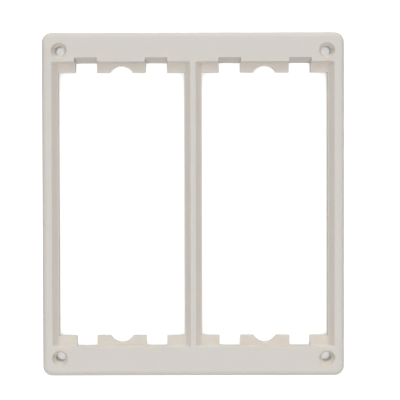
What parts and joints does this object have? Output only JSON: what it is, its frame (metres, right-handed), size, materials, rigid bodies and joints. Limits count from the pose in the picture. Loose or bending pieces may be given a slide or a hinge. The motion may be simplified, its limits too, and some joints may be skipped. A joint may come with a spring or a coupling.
{
  "type": "floor box adapter frame",
  "caption": "Flat moulded rectangular frame with tall side-by-side module openings, notched ledges at their ends, a slim centre bar and countersunk corner screw holes.",
  "frame": {"origin": "middle of the back face, which rests on the floor box; the frame lies on its back", "axes": "+X across the width, +Y up the length towards the ends with the ramped notches, +Z out of the front face"},
  "size_m": [0.1156, 0.1316, 0.0065],
  "materials": {
    "moulded_plastic": "off-white satin moulded plastic"
  },
  "bodies": {
    "root": {"adapter_frame": "moulded_plastic"}
  },
  "joints": []
}
